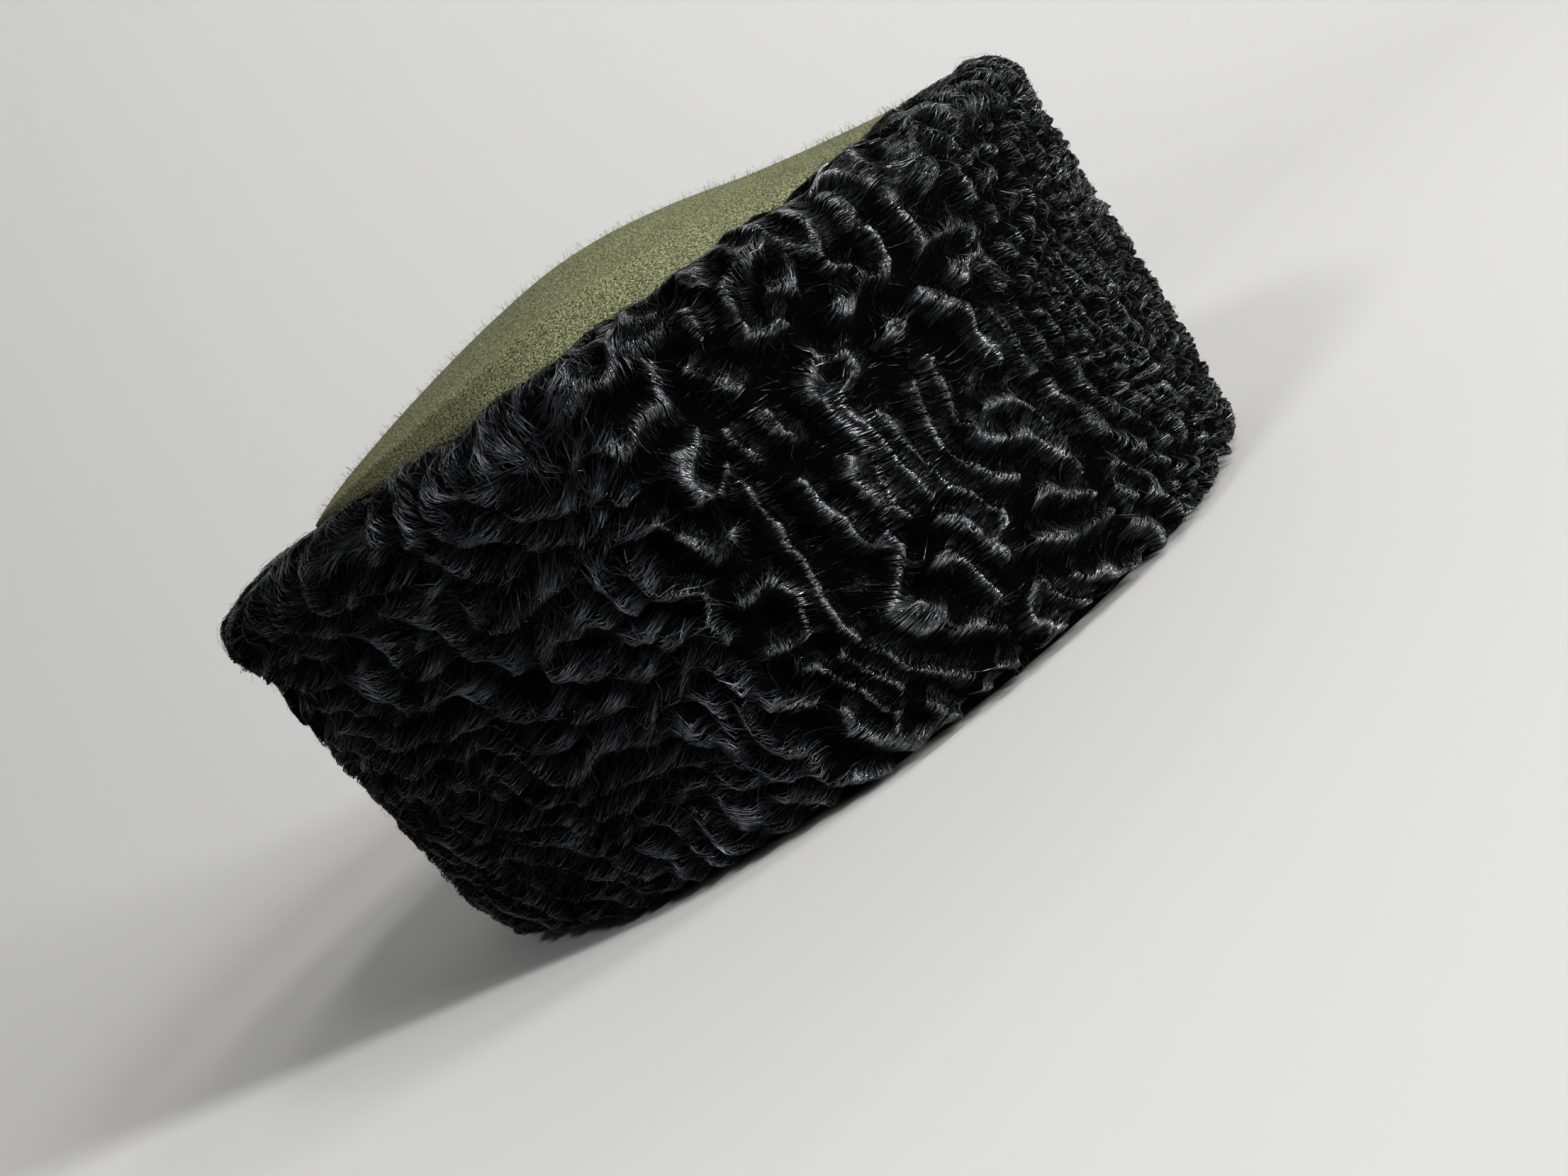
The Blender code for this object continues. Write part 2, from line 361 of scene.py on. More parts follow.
def furDepths():
    # how far below the curls' crests the fur lies, in mm
    fineAround = np.arange(ridges.shape[1]) * roundLength / ridges.shape[1]
    fineClimb = lay["lowest"] + (np.arange(len(ridges)) + 0.5) * (furTop - lay["lowest"]) / len(ridges)
    around, climb = np.meshgrid(fineAround, fineClimb)
    front, side, back, top = zones(around, climb)
    deep = lay["sideDepth"] * side + lay["frontDepth"] * front + lay["backDepth"] * back
    deep = mix(deep, lay["topDepth"], top)
    deep = deep * mix(lay["lowDepth"], 1.0, smooth(climb, *lay["lowFade"]))
    deep = deep * mix(lay["rimDepth"], 1.0, smooth(climb, *lay["rimFade"]))
    aside = np.arccos(ridges) / math.pi  # 0 on a crest, 1 in a hollow
    aside = np.minimum(aside / mix(lay["fullness"], 1.0, top), 1)
    blunt = lay["sharpness"]
    swell = 1 - (np.hypot(aside, blunt) - blunt) / (math.hypot(1, blunt) - blunt)
    uneven = 0.5 + 0.5 * np.tanh(sample(noiseField(lay["crestSize"]), around, climb))
    proud = mix(lay["wallProud"], lay["topProud"], top) * smooth(climb, *lay["proudFrom"])
    proud = mix(proud, lay["edgeProud"], smooth(climb, *past(furTop, lay["edgeFrom"])))
    raised = swell * mix(lay["lowestCrest"], 1.0, uneven)
    bulge = lay["rearBulge"] * np.exp(-((climb - wallTop - lay["bulgeAt"]) / lay["bulgeSize"]) ** 2)
    tuck = lay["rearTuck"] * np.exp(-((climb - lay["tuckAt"]) / lay["tuckSize"]) ** 2)
    return deep * (1 - raised) - proud * raised + rearShare(turnAt(around)) * (tuck - bulge)


depths = furDepths()


def ridgeNormals():
    # direction across the ridges, from the products of their slopes, smoothed over a few mm
    slopeC, slopeA = np.gradient(ridges[::2, ::2])
    products = slopeA ** 2, slopeC ** 2, slopeA * slopeC
    aa, cc, ac = (blur(part, lay["waySteps"]) for part in products)
    angle = 0.5 * np.arctan2(2 * ac, aa - cc)
    return np.cos(angle), np.sin(angle)


acrossA, acrossC = ridgeNormals()
slopesC, slopesA = np.gradient(ridges)


def toCrest(around, climb):
    # moves places to the crest of the ridge that they are on
    for _ in range(strips["crestSteps"]):
        slopeA, slopeC = sample(slopesA, around, climb), sample(slopesC, around, climb)
        away = np.arccos(np.clip(sample(ridges, around, climb), -1, 1)) / (2 * math.pi)
        step = strips["crestStep"] * away * waveAt(around, climb) / (np.hypot(slopeA, slopeC) + 1e-5)
        around, climb = around + slopeA * step, climb + slopeC * step
    return around, climb


def onFur(around, climb, raised):
    # places raised by so many mm above the curls' crests, which lean the way that the fur lies
    place, normal, onward = furSurface(turnAt(around), climb)
    upward = np.cross(onward, normal)
    flowA, flowC, lean = flowAt(around, climb)
    shift = (lean * (lay["leanReach"] + raised))[..., None]
    leaned = place + normal * np.asarray(raised)[..., None]
    return leaned + shift * (flowA[..., None] * onward + flowC[..., None] * upward), normal


# Materials

def newMaterial(name, color, roughness, **sockets):
    material = bpy.data.materials.new(name)
    material.use_nodes = True
    shader = material.node_tree.nodes["Principled BSDF"]
    shader.inputs["Base Color"].default_value = (*color, 1)
    shader.inputs["Roughness"].default_value = roughness
    for socket, value in sockets.items():
        shader.inputs[socket].default_value = value
    return material, material.node_tree.nodes, material.node_tree.links, shader


lockLook = {
    # masks for the painted shade at root and tip, which also makes them rougher, and for the painted
    # highlight along the crest
    "rootShadeAndRoughMask": (0.03, 0.22), "crestHighlightMask": (0.36, 0.49),  # share of a lock's length from its ends
    # share of the painted crest highlight that the flanks keep, and the least that a lock gets
    "flankHighlight": 0.07, "leastHighlight": 0.12,
    # colour of the painted shade at root and tip, where the hair goes down into the hollows, and the
    # roots' roughness
    "root": (0.007, 0.007, 0.0075), "rootRoughness": 0.85,
    "hairScale": (5.0, 0.7, 1.0), "hairDepth": 0.00035,
}


def lockShading():
    # the shading that the furs share: colour and gloss vary from lock to lock, a painted highlight lies
    # along the crest, root and tip are darkened as painted shade of the hollows, and fine hairs run
    # along each lock
    group = bpy.data.node_groups.new("lockShading", "ShaderNodeTree")
    socketsIn = {"Dark": "Color", "Light": "Color", "Smoothest": "Float", "Roughest": "Float"}
    socketsOut = {"Color": "Color", "Roughness": "Float", "Normal": "Vector"}
    for sockets, way in ((socketsIn, "INPUT"), (socketsOut, "OUTPUT")):
        for name, kind in sockets.items():
            group.interface.new_socket(name, in_out=way, socket_type="NodeSocket" + kind)
    nodes, links = group.nodes, group.links
    given, made = nodes.new("NodeGroupInput"), nodes.new("NodeGroupOutput")
    strand, lock = nodes.new("ShaderNodeUVMap"), nodes.new("ShaderNodeUVMap")
    strand.uv_map, lock.uv_map = "strand", "lock"
    parts, lockParts = nodes.new("ShaderNodeSeparateXYZ"), nodes.new("ShaderNodeSeparateXYZ")
    links.new(strand.outputs["UV"], parts.inputs["Vector"])
    links.new(lock.outputs["UV"], lockParts.inputs["Vector"])
    ends = nodes.new("ShaderNodeMath")
    ends.operation = "PINGPONG"
    ends.inputs[1].default_value = 0.5
    links.new(parts.outputs["Y"], ends.inputs[0])
    rootShadeAndRough, crestHighlight = nodes.new("ShaderNodeMapRange"), nodes.new("ShaderNodeMapRange")
    for mask, (low, high) in ((rootShadeAndRough, lockLook["rootShadeAndRoughMask"]), (crestHighlight, lockLook["crestHighlightMask"])):
        mask.interpolation_type = "SMOOTHSTEP"
        mask.inputs["From Min"].default_value = low
        mask.inputs["From Max"].default_value = high
        links.new(ends.outputs[0], mask.inputs["Value"])
    spread = nodes.new("ShaderNodeMapRange")
    spread.inputs["To Min"].default_value = lockLook["leastHighlight"]
    crestHighlight.inputs["To Min"].default_value = lockLook["flankHighlight"]
    links.new(lockParts.outputs["X"], spread.inputs["Value"])
    lit = nodes.new("ShaderNodeMath")
    lit.operation = "MULTIPLY"
    links.new(crestHighlight.outputs["Result"], lit.inputs[0])
    links.new(spread.outputs["Result"], lit.inputs[1])
    # the light colour mixed in along the crest is a painted highlight
    tint = nodes.new("ShaderNodeMix")
    tint.data_type = "RGBA"
    links.new(lit.outputs[0], tint.inputs["Factor"])
    links.new(given.outputs["Dark"], tint.inputs[6])
    links.new(given.outputs["Light"], tint.inputs[7])
    # root and tip fade to the root colour: painted shade where the hair goes down into the hollows
    shade = nodes.new("ShaderNodeMix")
    shade.data_type = "RGBA"
    shade.inputs[6].default_value = (*lockLook["root"], 1)
    links.new(rootShadeAndRough.outputs["Result"], shade.inputs["Factor"])
    links.new(tint.outputs[2], shade.inputs[7])
    links.new(shade.outputs[2], made.inputs["Color"])
    gloss = nodes.new("ShaderNodeMapRange")
    links.new(given.outputs["Smoothest"], gloss.inputs["To Min"])
    links.new(given.outputs["Roughest"], gloss.inputs["To Max"])
    links.new(lockParts.outputs["Y"], gloss.inputs["Value"])
    rough = nodes.new("ShaderNodeMix")
    rough.inputs["A"].default_value = lockLook["rootRoughness"]
    links.new(rootShadeAndRough.outputs["Result"], rough.inputs["Factor"])
    links.new(gloss.outputs["Result"], rough.inputs["B"])
    links.new(rough.outputs["Result"], made.inputs["Roughness"])
    stretch = nodes.new("ShaderNodeMapping")
    stretch.inputs["Scale"].default_value = lockLook["hairScale"]
    links.new(strand.outputs["UV"], stretch.inputs["Vector"])
    hairs = nodes.new("ShaderNodeTexNoise")
    hairs.inputs["Scale"].default_value = 1.0
    hairs.inputs["Detail"].default_value = 1.0
    links.new(stretch.outputs["Vector"], hairs.inputs["Vector"])
    bump = nodes.new("ShaderNodeBump")
    bump.inputs["Distance"].default_value = lockLook["hairDepth"]
    links.new(hairs.outputs["Fac"], bump.inputs["Height"])
    links.new(bump.outputs["Normal"], made.inputs["Normal"])
    return group


lockShades = lockShading()


def furMaterial(name, dark, light, smoothest, roughest):
    # with full metal the colour sets the reflection: the light colour is a painted highlight along the
    # crests, the root colour painted shade
    material, nodes, links, shader = newMaterial(name, dark, smoothest, Metallic=1.0)
    shading = nodes.new("ShaderNodeGroup")
    shading.node_tree = lockShades
    shading.inputs["Dark"].default_value = (*dark, 1)
    shading.inputs["Light"].default_value = (*light, 1)
    shading.inputs["Smoothest"].default_value = smoothest
    shading.inputs["Roughest"].default_value = roughest
    links.new(shading.outputs["Color"], shader.inputs["Base Color"])
    links.new(shading.outputs["Roughness"], shader.inputs["Roughness"])
    links.new(shading.outputs["Normal"], shader.inputs["Normal"])
    return material


# each fur: its own dark colour; the colour of its painted crest highlight, brightest on the side and
# dimmest at the back, partly for each fur's own gloss and partly for how the light falls there; its
# smoothest and roughest roughness
sideFur = furMaterial("glossyKarakul", (0.060, 0.061, 0.064), (0.640, 0.645, 0.660), 0.14, 0.28)
frontFur = furMaterial("tightKarakul", (0.055, 0.056, 0.058), (0.450, 0.455, 0.465), 0.18, 0.36)
backFur = furMaterial("softKarakul", (0.058, 0.059, 0.063), (0.280, 0.284, 0.295), 0.30, 0.48)
# ground under the curls: the black of the fur, darkened further and with little reflection as painted
# shade deep between the curls
groundShadeMaterial = newMaterial("furGroundAndShade", (0.002, 0.002, 0.0022), 0.95, **{"Specular IOR Level": 0.1})[0]


def addPiece(name, mesh, node):
    obj = bpy.data.objects.new(name, mesh)
    bpy.context.scene.collection.objects.link(obj)
    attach(obj, "root")
    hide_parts(node)
    return obj


# The padded wall under the curls

wallMesh = {
    "around": 400, "climbs": 84,
    "inside": [0.75, 0.5, 0.25, 0.0],  # rows down the inner side, as shares of its height
    "under": 0.7,  # how far it stays below the hair
    "lowestFur": -6, "sunkFrom": (-6, 1), "flatTo": -4,  # climbs at the rim, which stands flat
}


def paddedWall():
    shape = bmesh.new()
    lowest = -band["wall"] + band["rimRound"] + band["innerRound"]
    climbs = np.linspace(lowest, furTop, wallMesh["climbs"])
    inside = wallMesh["inside"]
    count = len(climbs) + len(inside)
    cut = [shape.verts.new((1, 0, i)) for i in range(count)]
    edges = [shape.edges.new(pair) for pair in zip(cut, cut[1:] + cut[:1])]
    bmesh.ops.spin(
        shape, geom=cut + edges, axis=(0, 0, 1), cent=(0, 0, 0), angle=2 * math.pi,
        steps=wallMesh["around"], use_merge=True)
    ring = np.array([vert.co for vert in shape.verts])
    row = np.rint(ring[:, 2]).astype(int)
    around = (np.arctan2(ring[:, 1], ring[:, 0]) / (2 * math.pi) % 1) * roundLength
    climb = climbs[np.minimum(row, len(climbs) - 1)]
    sunk = sample(depths, around, climb) + wallMesh["under"]
    sunk = sunk * smooth(climb, *wallMesh["sunkFrom"])
    place = onFur(around, np.maximum(climb, wallMesh["lowestFur"]), -sunk)[0]
    flat = climb < wallMesh["flatTo"]
    place[flat] = furSurface(turnAt(around), climb)[0][flat]
    within = row >= len(climbs)
    share = np.array([0.0] * len(climbs) + inside)[row]
    height = band["innerRound"] + (band["height"] - band["topRoll"] - band["innerRound"]) * share
    inX, inY = innerOval(turnAt(around), height)
    place[within] = np.stack([inX, inY, height], -1)[within]
    place[:, 2] = np.maximum(place[:, 2], 0)
    for vert, co in zip(shape.verts, place * mm):
        vert.co = co
    bmesh.ops.recalc_face_normals(shape, faces=shape.faces)
    mesh = bpy.data.meshes.new("fur_wall")
    shape.to_mesh(mesh)
    shape.free()
    mesh.shade_smooth()
    mesh.materials.append(groundShadeMaterial)
    wall = addPiece("fur_wall", mesh, "karakul_band")


paddedWall()
print("wall made")


# Hair: flat strips of hair that cross each ridge, joined into one mesh for each part of the band

strips = {
    "points": [-0.50, -0.09, 0.00, 0.09, 0.50],  # closer together at the crest
    "taper": [(-0.5, -0.3, 0.2, 0.5), (0.6, 1.0, 0.9, 0.35)],
    "widths": (0.6, 1.3), "lengths": (0.8, 1.2),  # uneven by these shares
    "crestFrom": (-0.2, 0.5),  # ridge values between a hollow and a crest
    # in the hollows the strips are shorter, and their lengthways coordinate is cut short so that more of
    # each takes the painted root shade
    "hollowLength": 0.7, "hollowShade": 0.45,
    "crestSteps": 3, "crestStep": 0.8,
    "sunk": 0.6, "lowest": 0.5,
    "clumpTint": 0.22, "tint": 0.16, "tintShift": 40,  # the fine hairs differ from lock to lock
    "thinned": 0.35, "thinFrom": 20,  # share that is left out at the cloth
}


def stripMesh(name, spine, width, lengthways, tint):
    # spine: strips x points x 3, width: the sideways half vector at each point
    count, points = spine.shape[:2]
    left, right = spine - width, spine + width
    places = np.stack([left, right], 2).reshape(-1, 3)
    first = np.arange(count)[:, None] * points * 2 + np.arange(points - 1)[None] * 2
    quads = np.stack([first, first + 1, first + 3, first + 2], -1).reshape(-1, 4)
    mesh = bpy.data.meshes.new(name)
    mesh.vertices.add(len(places))
    mesh.vertices.foreach_set("co", (places * mm).astype(np.float32).ravel())
    mesh.loops.add(quads.size)
    mesh.loops.foreach_set("vertex_index", quads.astype(np.int32).ravel())
    mesh.polygons.add(len(quads))
    mesh.polygons.foreach_set("loop_start", np.arange(0, quads.size, 4, dtype=np.int32))
    mesh.update(calc_edges=True)
    mesh.shade_smooth()
    strand = np.zeros((count, points, 2, 2))
    strand[..., 0, 0] = tint[:, None] * strips["tintShift"]
    strand[..., 1, 0] = strand[..., 0, 0] + 1
    strand[..., 1] = np.broadcast_to(lengthways, (count, points))[..., None]
    lock = np.repeat(np.stack([tint, rng.random(count)], -1)[:, None], points * 2, 1)
    for layer, values in (("strand", strand), ("lock", lock)):
        uv = mesh.uv_layers.new(name=layer)
        uv.data.foreach_set("uv", values.reshape(-1, 2)[quads.ravel()].astype(np.float32).ravel())
    return mesh


def hairStrips(name, around, climb, hair):
    # strips of hair laid over the ridges, from hollow to hollow
    count = len(around)
    t = np.array([strips["points"]])
    crestA, crestC = toCrest(around, climb)
    between = rng.random(count) < hair["between"]
    around, climb = np.where(between, around, crestA), np.where(between, climb, crestC)
    dirA, dirC = sample(acrossA, around, climb), sample(acrossC, around, climb)
    size = np.hypot(dirA, dirC) + 1e-6
    dirA, dirC = dirA / size, dirC / size
    flowA, flowC, _ = flowAt(around, climb)
    sign = np.where(dirA * flowA + dirC * flowC < 0, -1.0, 1.0)
    wave = waveAt(around, climb)
    off = rng.normal(0, hair["off"], count) * wave
    around, climb = around + dirA * off, climb + dirC * off
    angle = np.arctan2(dirC * sign, dirA * sign) + hair["slant"] + rng.normal(0, hair["stray"], count)
    angle = angle + hair["swirl"] * sample(swirls, around, climb)
    astray = rng.random(count) < hair["loose"]
    angle = np.where(astray, rng.uniform(0, 2 * math.pi, count), angle)
    bend = rng.normal(0, hair["bend"], count)
    length = wave * hair["reach"] * rng.uniform(*strips["lengths"], count)
    onRidge = smooth(sample(ridges, around, climb), *strips["crestFrom"])
    length *= mix(strips["hollowLength"], 1.0, onRidge)
    heading = angle[:, None] + bend[:, None] * t
    step = np.gradient(t, axis=1) * length[:, None]
    walkA = np.cumsum(np.cos(heading) * step, 1)
    walkC = np.cumsum(np.sin(heading) * step, 1)
    pathA = around[:, None] + walkA - walkA[:, 2:3]
    pathC = climb[:, None] + walkC - walkC[:, 2:3]
    pathC = np.clip(pathC, lay["lowest"] + 2, furTop + 1)
    clump = sample(clumps, around, climb)
    arch = 1 - (2 * t) ** 2
    lift = (hair["lift"] * rng.random(count) + hair["clump"] * clump)[:, None] * arch
    tip = rng.uniform(0, hair["tip"], count)[:, None] * np.maximum(2 * t, 0) ** 3
    raised = lift + tip - strips["sunk"] - sample(depths, pathA, pathC)
    spine, normal = onFur(pathA, pathC, raised)
    spine[..., 2] = np.maximum(spine[..., 2], strips["lowest"])
    along = np.gradient(spine, axis=1)
    sideways = np.cross(normal, along)
    sideways /= np.linalg.norm(sideways, axis=-1, keepdims=True)
    twist = rng.normal(0, hair["twist"], count)[:, None, None]
    sideways = sideways * np.cos(twist) + normal * np.sin(twist)
    taper = np.interp(t[0], *strips["taper"])
    half = hair["width"] / 2 * rng.uniform(*strips["widths"], count)[:, None] * taper
    tint = np.clip(0.5 + strips["clumpTint"] * clump + rng.normal(0, strips["tint"], count), 0, 1)
    # strips in the hollows take more of the painted root shade
    lengthways = (t + 0.5) * mix(strips["hollowShade"], 1.0, onRidge)[:, None]
    mesh = stripMesh(name, spine, sideways * half[..., None], lengthways, tint)
    mesh.materials.append(hair["material"])
    addPiece(name, mesh, "karakul_band")


swirls = noiseField(7.0)
clumps = noiseField(2.6)

hairKinds = {
    "side": {
        "count": 18000, "width": 0.27, "reach": 0.88, "off": 0.03, "between": 0.05,
        "lift": 0.2, "clump": 0.15, "tip": 0.0, "slant": 0.30, "stray": 0.07, "swirl": 0.05,
        "loose": 0.01, "bend": 0.4, "twist": 0.18, "material": sideFur,
    },
    "front": {
        "count": 17500, "width": 0.28, "reach": 1.10, "off": 0.12, "between": 0.15,
        "lift": 0.6, "clump": 0.3, "tip": 0.4, "slant": 0.25, "stray": 0.30, "swirl": 0.40,
        "loose": 0.06, "bend": 2.2, "twist": 0.35, "material": frontFur,
    },
    "back": {
        "count": 17000, "width": 0.30, "reach": 1.6, "off": 0.12, "between": 0.15,
        "lift": 0.3, "clump": 0.25, "tip": 0.1, "slant": 0.95, "stray": 0.14, "swirl": 0.12,
        "loose": 0.02, "bend": 1.1, "twist": 0.20, "material": backFur,
    },
    "stray": {
        "count": 3200, "width": 0.10, "reach": 0.9, "off": 0.20, "between": 0.4,
        "lift": 1.4, "clump": 0.2, "tip": 2.6, "slant": 0.30, "stray": 0.60, "swirl": 0.50,
        "loose": 0.50, "bend": 3.4, "twist": 0.60, "material": frontFur,
    },
}


def scatter(kind, leftSide, count):
    # places on one part of the band, fewer where the roll narrows towards the cloth
    found = [np.zeros(0), np.zeros(0)]
    while len(found[0]) < count:
        around = rng.uniform(0, roundLength / 2, count * 4)
        climb = rng.uniform(-6, furTop - 1, count * 4)
        if leftSide:
            around = roundLength - around
        front, side, back, _ = zones(around, climb)
        share = {"front": front, "side": side, "back": back, "stray": np.ones_like(front)}[kind]
        narrower = 1 - strips["thinned"] * smooth(climb, wallTop + strips["thinFrom"], furTop)
        keep = rng.random(count * 4) < share * narrower
        found = [np.concatenate([found[0], around[keep]]), np.concatenate([found[1], climb[keep]])]
    return found[0][:count], found[1][:count]


leftShare = 0.86  # the side away from the camera needs fewer strips

for kind, hair in hairKinds.items():
    for leftSide in (False, True):
        around, climb = scatter(kind, leftSide, int(hair["count"] * (leftShare if leftSide else 1)))
        name = "curls_" + kind + ("_left" if leftSide else "_right")
        hairStrips(name, around, climb, hair)
        print(name, len(around))


# The crown of cloth

crown = {
    "height": 20.5, "thickness": 2.0, "seamDepth": 14.0, "seamGap": 0.3, "grid": 90,
    "shoulderFull": 0.15, "shoulderGone": -0.55,
    "along": [-1.00, -0.78, -0.52, -0.30, -0.10, 0.05, 0.27, 0.50, 0.73, 0.90, 1.00],
    "alongShare": [0.00, 0.20, 0.48, 0.78, 0.96, 1.00, 0.90, 0.70, 0.44, 0.20, 0.00],
    "across": [0.00, 0.25, 0.50, 0.70, 0.80, 0.86, 0.90, 0.94, 0.975, 1.00],
    "shoulderShare": [1.00, 0.97, 0.85, 0.64, 0.54, 0.49, 0.37, 0.24, 0.10, 0.00],
    "plainShare": [1.00, 0.94, 0.78, 0.57, 0.43, 0.33, 0.26, 0.16, 0.07, 0.00],
    # painted shade on the strip between shoulder and fur, over the back half
    "shadeBandAcross": (0.862, 0.895), "shadeBandAlong": (0.1, 0.5),  # the strip between shoulder and fur
}


def curve(place, places, values):
    # smooth curve through a table
    places, values = np.array(places), np.array(values)
    slopes = np.gradient(values, places)
    i = np.clip(np.searchsorted(places, place, side="right") - 1, 0, len(places) - 2)
    span = places[i + 1] - places[i]
    t = np.clip((place - places[i]) / span, 0, 1)
    ease = t * t * (3 - 2 * t)
    bends = slopes[i] * t * (1 - t) ** 2 - slopes[i + 1] * t * t * (1 - t)
    return values[i] + (values[i + 1] - values[i]) * ease + span * bends


def crownHeight(x, y):
    # height of the cloth above the top of the band, at shares of the oval's half sizes
    along = np.clip(y, -1, 1)
    across = np.clip(np.abs(x) / np.sqrt(np.maximum(1 - along ** 2, 1e-6)), 0, 1)
    shoulder = smooth(along, crown["shoulderGone"], crown["shoulderFull"])
    plain = curve(across, crown["across"], crown["plainShare"])
    full = curve(across, crown["across"], crown["shoulderShare"])
    rise = crown["height"] * curve(along, crown["along"], crown["alongShare"])
    return rise * mix(plain, full, shoulder)


def clothCrown():
    shape = bmesh.new()
    bmesh.ops.create_grid(shape, x_segments=crown["grid"], y_segments=crown["grid"], size=1)
    rimEdges = [edge for edge in shape.edges if edge.is_boundary]
    flat = np.array([vert.co for vert in shape.verts])
    discX = flat[:, 0] * np.sqrt(1 - flat[:, 1] ** 2 / 2)
    discY = flat[:, 1] * np.sqrt(1 - flat[:, 0] ** 2 / 2)
    reach = np.hypot(discX, discY)
    turn = np.arctan2(-discX, -discY)
    edgeX, edgeY = innerOval(turn, band["height"], crown["seamGap"])
    x, y = edgeX * reach, (edgeY - band["middle"]) * reach + band["middle"]
    z = band["height"] + crownHeight(discX, discY)
    for vert, co in zip(shape.verts, np.stack([x, y, z], -1) * mm):
        vert.co = co
    for drop in (0.5, 1.0):
        made = bmesh.ops.extrude_edge_only(shape, edges=rimEdges)["geom"]
        rimEdges = [item for item in made if isinstance(item, bmesh.types.BMEdge) and item.is_boundary]
        height = band["height"] - crown["seamDepth"] * drop
        side = abs(float(innerOval(math.pi / 2, height, crown["seamGap"])[0]))
        ends = abs(float(innerOval(0, height, crown["seamGap"])[1] - band["middle"]))
        for vert in {vert for edge in rimEdges for vert in edge.verts}:
            reach = math.hypot(vert.co.x / side, (vert.co.y - band["middle"] * mm) / ends) / mm
            vert.co.x /= reach
            vert.co.y = (vert.co.y - band["middle"] * mm) / reach + band["middle"] * mm
            vert.co.z = height * mm
    bmesh.ops.recalc_face_normals(shape, faces=shape.faces)
    mesh = bpy.data.meshes.new("cloth_crown")
    shape.to_mesh(mesh)
    shape.free()
    # mask of the painted shade on the strip between shoulder and fur
    below = np.ones(len(mesh.vertices))
    along, across = discY, np.abs(discX) / np.sqrt(np.maximum(1 - discY ** 2, 1e-6))
    below[:len(flat)] = smooth(across, *crown["shadeBandAcross"]) * smooth(along, *crown["shadeBandAlong"])
    mesh.attributes.new("painted_shade_below_shoulder", "FLOAT", "POINT").data.foreach_set("value", below)
    mesh.shade_smooth()
    mesh.materials.append(clothMaterial())
    cloth = addPiece("cloth_crown", mesh, "cloth_top")
    wall = cloth.modifiers.new("thickness", "SOLIDIFY")
    wall.thickness = crown["thickness"] * mm
    wall.offset = -1
    return cloth


wool = {
    "color": (0.156, 0.159, 0.084), "gloss": 0.15,
    "fibres": [(0.40, (0.064, 0.067, 0.035)), (0.65, (0.600, 0.605, 0.388))],
    "fibreScale": 2600, "grainTurn": 0.35, "grain": (1.0, 0.55, 1.0), "nap": 0.0006,
    "patchScale": 90, "patchTint": (0.80, 0.82, 0.78),
    # painted shade: how much darker the strip between shoulder and fur is drawn
    "bandShade": 0.66,  # the strip between shoulder and fur is darker
}


def clothMaterial():
    # fulled melange wool: light and dark green fibres, matted so that no weave shows, and painted shade
    # on the strip between shoulder and fur
    material, nodes, links, shader = newMaterial(
        "oliveWool", wool["color"], 1.0, **{"Specular IOR Level": wool["gloss"]})
    place = nodes.new("ShaderNodeTexCoord")
    fibres = nodes.new("ShaderNodeTexNoise")
    fibres.inputs["Scale"].default_value = wool["fibreScale"]
    fibres.inputs["Detail"].default_value = 3
    fibres.inputs["Roughness"].default_value = 0.7
    grain = nodes.new("ShaderNodeMapping")
    grain.inputs["Rotation"].default_value = (0, 0, wool["grainTurn"])
    grain.inputs["Scale"].default_value = wool["grain"]
    links.new(place.outputs["Object"], grain.inputs["Vector"])
    links.new(grain.outputs["Vector"], fibres.inputs["Vector"])
    ramp = nodes.new("ShaderNodeValToRGB")
    for element, (spot, color) in zip(ramp.color_ramp.elements, wool["fibres"]):
        element.position = spot
        element.color = (*color, 1)
    links.new(fibres.outputs["Fac"], ramp.inputs["Fac"])
    patches = nodes.new("ShaderNodeTexNoise")
    patches.inputs["Scale"].default_value = wool["patchScale"]
    patches.inputs["Detail"].default_value = 2
    links.new(place.outputs["Object"], patches.inputs["Vector"])
    shade = nodes.new("ShaderNodeMix")
    shade.data_type = "RGBA"
    shade.blend_type = "MULTIPLY"
    shade.inputs[7].default_value = (*wool["patchTint"], 1)
    links.new(patches.outputs["Fac"], shade.inputs["Factor"])
    links.new(ramp.outputs["Color"], shade.inputs[6])
    # the strip between shoulder and fur is darkened as painted shade
    below = nodes.new("ShaderNodeAttribute")
    below.attribute_name = "painted_shade_below_shoulder"
    paintedShade = nodes.new("ShaderNodeMix")
    paintedShade.data_type = "RGBA"
    paintedShade.blend_type = "MULTIPLY"
    paintedShade.inputs[7].default_value = (*[wool["bandShade"]] * 3, 1)
    links.new(below.outputs["Fac"], paintedShade.inputs["Factor"])
    links.new(shade.outputs[2], paintedShade.inputs[6])
    links.new(paintedShade.outputs[2], shader.inputs["Base Color"])
    bump = nodes.new("ShaderNodeBump")
    bump.inputs["Distance"].default_value = wool["nap"]
    links.new(fibres.outputs["Fac"], bump.inputs["Height"])
    links.new(bump.outputs["Normal"], shader.inputs["Normal"])
    return material


fuzz = {
    "count": 4500, "lengths": (2.0, 6.5), "bend": 1.1, "rise": 3.2, "halfWidth": 0.042,
    "points": [0.0, 0.35, 0.7, 1.0], "color": (0.13, 0.13, 0.08),
    "leastUp": 0.2, "apart": 1.3,
}


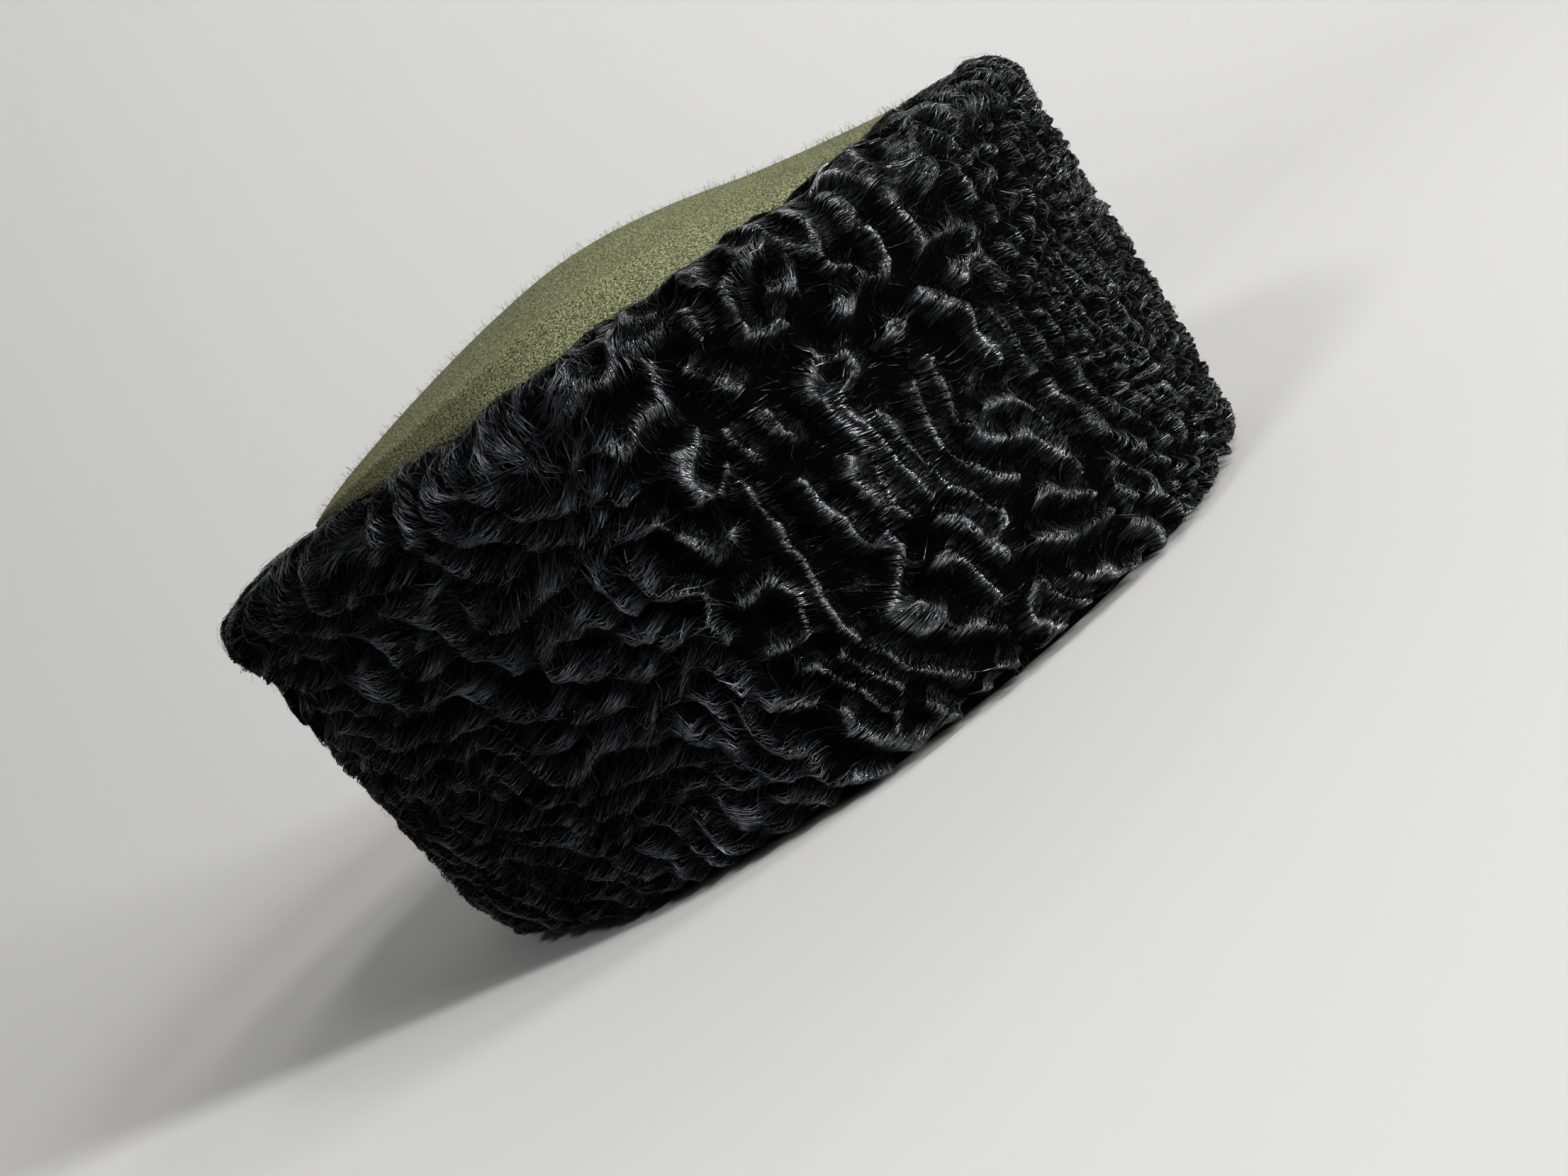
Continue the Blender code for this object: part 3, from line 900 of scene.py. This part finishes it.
def clothFuzz(cloth):
    # short fine hairs that stand off the cloth
    mesh = cloth.data
    centers = np.array([face.center for face in mesh.polygons]) / mm
    normals = np.array([face.normal for face in mesh.polygons])
    upward = np.flatnonzero(normals[:, 2] > fuzz["leastUp"])
    chosen = rng.choice(upward, fuzz["count"])
    start, normal = centers[chosen], normals[chosen]
    start = start + rng.uniform(-fuzz["apart"], fuzz["apart"], start.shape) * (1 - np.abs(normal))
    sway = rng.standard_normal(start.shape)
    sway -= (sway * normal).sum(1, keepdims=True) * normal
    sway /= np.linalg.norm(sway, axis=1, keepdims=True)
    bent = np.cross(normal, sway) * rng.normal(0, fuzz["bend"], (len(start), 1))
    t = np.array(fuzz["points"])[None, :, None]
    length = rng.uniform(*fuzz["lengths"], (len(start), 1, 1))
    rise = rng.uniform(0.1, 1.0, (len(start), 1, 1)) ** 3 * fuzz["rise"]
    spine = start[:, None] + length * (sway[:, None] * t + bent[:, None] * t * t * 0.6)
    spine = spine + normal[:, None] * (rise * (3.2 * t * (1 - t) + 0.35 * t) - 0.2)
    half = np.cross(normal, sway)[:, None] * fuzz["halfWidth"] * (1.15 - t)
    strands = stripMesh("cloth_fuzz", spine, half, t[0, :, 0], rng.random(len(start)))
    strands.materials.append(newMaterial("woolFuzz", fuzz["color"], 0.9)[0])
    addPiece("cloth_fuzz", strands, "cloth_top")


cloth = clothCrown()
clothFuzz(cloth)
print("crown made")


# Floor, lights and camera

studio = {
    "floor": (0.72, 0.715, 0.695),
    "back": 0.35, "front": -5.0, "sweepRadius": 1.6, "width": 12.0, "wallHeight": 3.0,
    "world": (0.93, 0.95, 1.0), "worldStrength": 0.09,
}


def backdrop():
    # a paper sheet that sweeps up behind the hat and behind the camera
    shape = bmesh.new()
    aside = -studio["width"] / 2
    ends = [shape.verts.new((studio[place], aside, 0)) for place in ("back", "front")]
    shape.edges.new(ends)
    for end, way in zip(ends, (1, -1)):
        bmesh.ops.spin(
            shape, geom=[end], axis=(0, -way, 0), angle=math.pi / 2, steps=24,
            cent=(end.co.x, 0, studio["sweepRadius"]))
        cove = [vert for vert in shape.verts if way * vert.co.x > way * end.co.x]
        last = max(cove, key=lambda vert: vert.co.z)
        top = shape.verts.new((last.co.x, aside, studio["wallHeight"]))
        shape.edges.new((last, top))
    made = bmesh.ops.extrude_edge_only(shape, edges=shape.edges[:])["geom"]
    moved = [item for item in made if isinstance(item, bmesh.types.BMVert)]
    bmesh.ops.translate(shape, verts=moved, vec=(0, studio["width"], 0))
    bmesh.ops.recalc_face_normals(shape, faces=shape.faces)
    mesh = bpy.data.meshes.new("backdrop")
    shape.to_mesh(mesh)
    shape.free()
    mesh.shade_smooth()
    mesh.materials.append(newMaterial("paleFloor", studio["floor"], 0.8)[0])
    obj = bpy.data.objects.new("backdrop", mesh)
    bpy.context.scene.collection.objects.link(obj)


def areaLight(name, place, target, size, power, color):
    data = bpy.data.lights.new(name, "AREA")
    data.shape = "RECTANGLE"
    data.size, data.size_y = size
    data.energy = power
    data.color = color
    light = bpy.data.objects.new(name, data)
    light.location = place
    light.rotation_euler = (Vector(target) - Vector(place)).to_track_quat("-Z", "Y").to_euler()
    bpy.context.scene.collection.objects.link(light)


photo = {
    "width": 2212, "focal": 2634.0,  # in pixels
    "place": (-563.8, 1.8, 138.0), "down": 10.33, "roll": 35.5,
}


def photoCamera():
    # on the hat's right, nearly as high as its top and looking a little down, rolled as the picture is
    data = bpy.data.cameras.new("photo_camera")
    data.sensor_width = 36
    data.lens = photo["focal"] / photo["width"] * data.sensor_width
    camera = bpy.data.objects.new("photo_camera", data)
    camera.location = Vector(photo["place"]) * mm
    down = math.radians(photo["down"])
    look = Vector((math.cos(down), 0, -math.sin(down)))
    turn = look.to_track_quat("-Z", "Y").to_matrix()
    turn = turn @ Matrix.Rotation(-math.radians(photo["roll"]), 3, "Z")
    camera.rotation_euler = turn.to_euler()
    bpy.context.scene.collection.objects.link(camera)
    bpy.context.scene.camera = camera


backdrop()
above = [(-1.2, -1.9, 2.4), (-0.6, -2.3, 2.3), (-0.4, -1.5, 2.8), (-1.3, -1.1, 2.7)]
for number, place in enumerate(above):
    areaLight(f"above_{number + 1}", place, (0, 0, 0.08), (0.4, 0.4), 7, (1.0, 0.985, 0.96))
areaLight("strip", (-1.80, -2.20, 0.95), (0, 0, 0.07), (0.25, 1.6), 75, (0.98, 0.99, 1.0))
areaLight("fill", (-1.3, 1.1, 2.1), (0, 0, 0.08), (0.5, 0.5), 10, (0.97, 0.98, 1.0))
world = bpy.data.worlds.new("softRoom")
world.use_nodes = True
world.node_tree.nodes["Background"].inputs["Color"].default_value = (*studio["world"], 1)
world.node_tree.nodes["Background"].inputs["Strength"].default_value = studio["worldStrength"]
bpy.context.scene.world = world
bpy.context.scene.view_settings.view_transform = "Standard"
bpy.context.scene.view_settings.look = "High Contrast"
photoCamera()
print("studio set")
